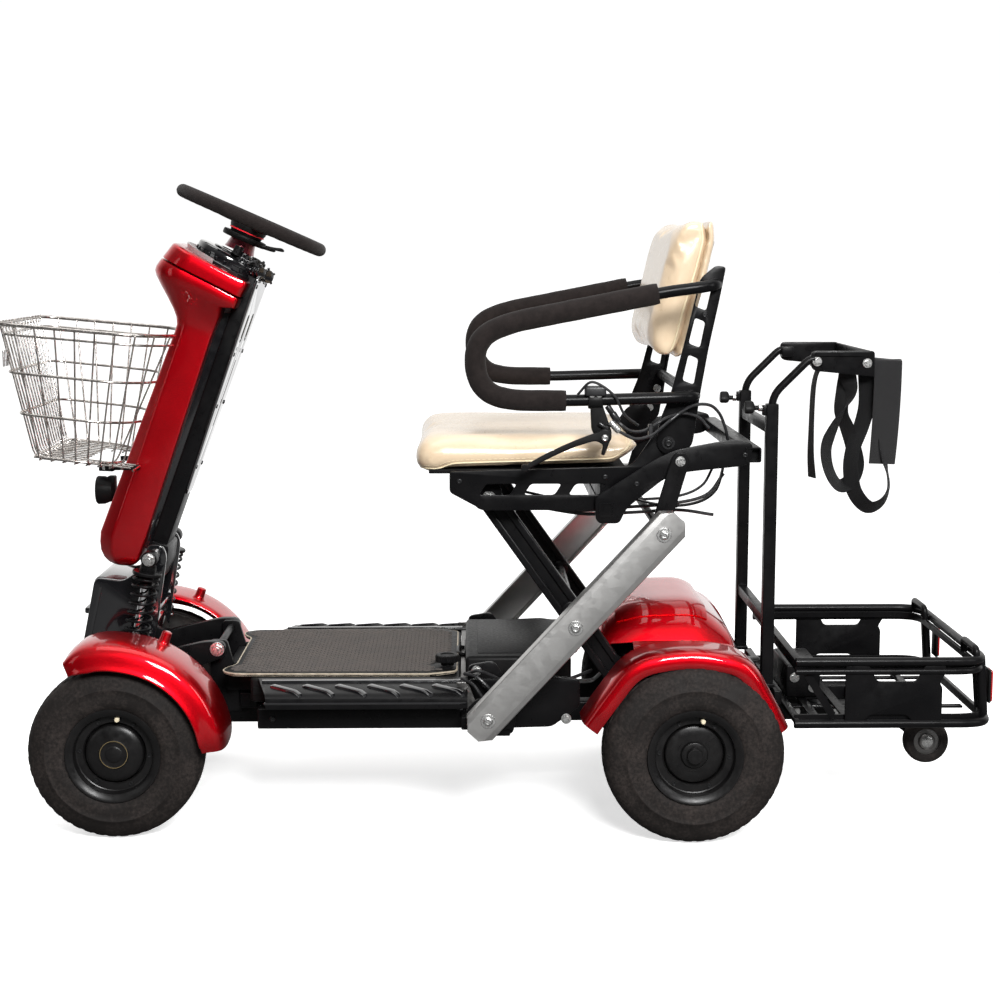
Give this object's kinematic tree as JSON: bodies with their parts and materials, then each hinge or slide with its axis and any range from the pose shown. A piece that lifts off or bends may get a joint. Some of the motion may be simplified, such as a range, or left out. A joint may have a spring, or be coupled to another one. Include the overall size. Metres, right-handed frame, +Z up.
{
  "type": "mobility scooter",
  "caption": "Folding four-wheel mobility scooter with steering wheel, wire basket, scissor-lift seat, padded backrest and rear luggage frame.",
  "frame": {"origin": "on the ground, under the centre of the object's bounding box", "axes": "+Z up, -X the driving direction (front), +X the rear, -Y the side with the hand brake"},
  "size_m": [1.4674, 0.614, 0.949],
  "materials": {
    "frame_black": "satin black powder coat, softly worn on edges",
    "red_lacquer": "candy red gloss lacquer",
    "black_plastic": "fine grained moulded black plastic",
    "gloss_black": "polished black",
    "tyre_rubber": "dusty black tyre rubber",
    "rim_black": "gloss black painted steel rim",
    "galvanised": "mottled galvanised alloy channel",
    "chrome": "bright chrome",
    "basket_wire": "bright chromed wire",
    "cream_vinyl": "smooth cream vinyl, semi gloss, fine grain",
    "mat_rubber": "brown-grey moulded mat with a small brick pattern",
    "foam_grip": "closed-cell foam sleeve",
    "webbing": "black woven webbing",
    "red_lens": "red reflector lens",
    "lamp": "black lamp body with a clear lens"
  },
  "bodies": {
    "chassis": {"main_frame": "frame_black", "tiller_base": "black_plastic", "deck_tray": "black_plastic", "deck_mat": "mat_rubber", "side_step_left": "frame_black", "side_step_right": "frame_black", "battery_pack": "black_plastic", "drive_unit": "black_plastic", "rear_cover": "red_lacquer", "rear_fender_left": "red_lacquer", "rear_fender_right": "red_lacquer", "rear_carrier": "frame_black", "tail_light_left": "red_lens", "tail_light_right": "red_lens", "mast_posts": "frame_black", "shock_body_left": "frame_black", "shock_body_right": "frame_black"},
    "deck_lock": {"deck_knob": "black_plastic"},
    "mast_clamp_left": {"clamp_knob_left": "black_plastic"},
    "mast_clamp_right": {"clamp_knob_right": "black_plastic"},
    "mast_slider": {"mast_upper": "frame_black", "bag_straps": "webbing"},
    "front_suspension": {"suspension_arms": "frame_black"},
    "shock_rods": {"shock_rod_left": "chrome", "shock_rod_right": "chrome", "spring_left": "frame_black", "spring_right": "frame_black"},
    "steering_left": {"knuckle_left": "frame_black", "front_fender_left": "red_lacquer"},
    "steering_right": {"knuckle_right": "frame_black", "front_fender_right": "red_lacquer"},
    "front_wheel_left": {"front_tyre_left": "tyre_rubber", "front_rim_left": "rim_black"},
    "front_wheel_right": {"front_tyre_right": "tyre_rubber", "front_rim_right": "rim_black"},
    "rear_wheel_left": {"rear_tyre_left": "tyre_rubber", "rear_rim_left": "rim_black"},
    "rear_wheel_right": {"rear_tyre_right": "tyre_rubber", "rear_rim_right": "rim_black"},
    "tiller": {"tiller_column": "frame_black", "tiller_cover": "red_lacquer", "headlight": "lamp", "control_pod": "gloss_black", "basket": "basket_wire"},
    "dial": {"speed_dial": "black_plastic"},
    "horn": {"horn_button": "black_plastic"},
    "handwheel": {"steering_wheel": "black_plastic"},
    "throttle": {"throttle_lever": "black_plastic"},
    "scissor_inner": {"inner_arms": "frame_black"},
    "scissor_outer": {"outer_arm_left": "galvanised", "outer_arm_right": "galvanised"},
    "seat": {"seat_frame": "frame_black", "seat_cushion": "cream_vinyl"},
    "seat_links": {"rear_links": "frame_black"},
    "backrest": {"backrest_frame": "frame_black", "backrest_cushion": "cream_vinyl", "armrest_foam_left": "foam_grip", "armrest_foam_right": "foam_grip"},
    "brake": {"brake_lever": "gloss_black"},
    "anti_tip": {"anti_tip_wheels": "tyre_rubber"}
  },
  "joints": [
    {"name": "suspension_travel", "type": "hinge", "parent": "chassis", "child": "front_suspension", "pos_m": [-0.4277, 0, 0.252], "axis": [0, 1, 0], "range_deg": [-2, 4], "stiffness_Nm_per_rad": 6000},
    {"name": "shock_stroke", "type": "slide", "parent": "chassis", "child": "shock_rods", "axis": [0.1985, 0, 0.9801], "range_m": [-0.006, 0.01], "deforming": ["spring_left", "spring_right"]},
    {"name": "steer_left", "type": "hinge", "parent": "front_suspension", "child": "steering_left", "pos_m": [-0.5607, -0.13, 0.1275], "axis": [0, 0, 1], "range_deg": [-21, 21]},
    {"name": "steer_right", "type": "hinge", "parent": "front_suspension", "child": "steering_right", "pos_m": [-0.5607, 0.13, 0.1275], "axis": [0, 0, 1], "range_deg": [-21, 21]},
    {"name": "front_wheel_left_spin", "type": "hinge", "parent": "steering_left", "child": "front_wheel_left", "pos_m": [-0.5607, -0.2, 0.1275], "axis": [0, 1, 0], "continuous": true},
    {"name": "front_wheel_right_spin", "type": "hinge", "parent": "steering_right", "child": "front_wheel_right", "pos_m": [-0.5607, 0.2, 0.1275], "axis": [0, 1, 0], "continuous": true},
    {"name": "rear_wheel_left_spin", "type": "hinge", "parent": "chassis", "child": "rear_wheel_left", "pos_m": [0.277, -0.2375, 0.1315], "axis": [0, 1, 0], "continuous": true},
    {"name": "rear_wheel_right_spin", "type": "hinge", "parent": "chassis", "child": "rear_wheel_right", "pos_m": [0.277, 0.2375, 0.1315], "axis": [0, 1, 0], "continuous": true},
    {"name": "tiller_fold", "type": "hinge", "parent": "chassis", "child": "tiller", "pos_m": [-0.5357, 0, 0.35], "axis": [0, 1, 0], "range_deg": [0, 28]},
    {"name": "handwheel_turn", "type": "hinge", "parent": "tiller", "child": "handwheel", "pos_m": [-0.3747, 0, 0.895], "axis": [0.4003, 0, 0.9164], "range_deg": [-40, 40]},
    {"name": "throttle_swing", "type": "hinge", "parent": "handwheel", "child": "throttle", "pos_m": [-0.3747, 0, 0.895], "axis": [0.4003, 0, 0.9164], "range_deg": [-14, 14]},
    {"name": "speed_dial_turn", "type": "hinge", "parent": "tiller", "child": "dial", "pos_m": [-0.39556, -0.033, 0.84363], "axis": [0.4787, 0, 0.878], "range_deg": [-135, 135]},
    {"name": "horn_press", "type": "slide", "parent": "tiller", "child": "horn", "axis": [0.4787, 0, 0.878], "range_m": [-0.0025, 0]},
    {"name": "seat_fold", "type": "hinge", "parent": "chassis", "child": "scissor_inner", "pos_m": [0.2227, 0, 0.1576], "axis": [0, 1, 0], "range_deg": [-22, 0]},
    {"name": "scissor_open", "type": "hinge", "parent": "scissor_inner", "child": "scissor_outer", "pos_m": [0.1028, 0, 0.3263], "axis": [0, 1, 0], "range_deg": [-1, 46]},
    {"name": "seat_level", "type": "hinge", "parent": "scissor_inner", "child": "seat", "pos_m": [-0.0171, 0, 0.495], "axis": [0, 1, 0], "range_deg": [-1, 23]},
    {"name": "link_swing", "type": "hinge", "parent": "seat", "child": "seat_links", "pos_m": [0.2533, 0, 0.554], "axis": [0, 1, 0], "range_deg": [-60, 1]},
    {"name": "backrest_fold", "type": "hinge", "parent": "seat", "child": "backrest", "pos_m": [0.2373, 0, 0.579], "axis": [0, 1, 0], "range_deg": [-52, 0]},
    {"name": "brake_squeeze", "type": "hinge", "parent": "backrest", "child": "brake", "pos_m": [0.1443, -0.26, 0.59], "axis": [0, 1, 0], "range_deg": [0, 16]},
    {"name": "mast_height", "type": "slide", "parent": "chassis", "child": "mast_slider", "axis": [0, 0, 1], "range_m": [-0.012, 0.05]},
    {"name": "clamp_left_turn", "type": "hinge", "parent": "chassis", "child": "mast_clamp_left", "pos_m": [0.3913, -0.13, 0.62], "axis": [1, 0, 0], "continuous": true},
    {"name": "clamp_right_turn", "type": "hinge", "parent": "chassis", "child": "mast_clamp_right", "pos_m": [0.3913, 0.13, 0.614], "axis": [1, 0, 0], "continuous": true},
    {"name": "deck_lock_turn", "type": "hinge", "parent": "chassis", "child": "deck_lock", "pos_m": [-0.0792, -0.112, 0.236], "axis": [0, 0, 1], "range_deg": [0, 90]},
    {"name": "anti_tip_spin", "type": "hinge", "parent": "chassis", "child": "anti_tip", "pos_m": [0.6483, 0, 0.111], "axis": [0, 1, 0], "continuous": true}
  ],
  "couplings": [
    {"joint": "shock_stroke", "follows": "suspension_travel", "m_per_rad": 0.1223},
    {"joint": "steer_left", "follows": "handwheel_turn", "ratio": 0.5},
    {"joint": "steer_right", "follows": "handwheel_turn", "ratio": 0.5},
    {"joint": "scissor_open", "follows": "seat_fold", "ratio": -2.03},
    {"joint": "seat_level", "follows": "seat_fold", "ratio": -1},
    {"joint": "link_swing", "follows": "seat_fold", "ratio": 2.65}
  ]
}
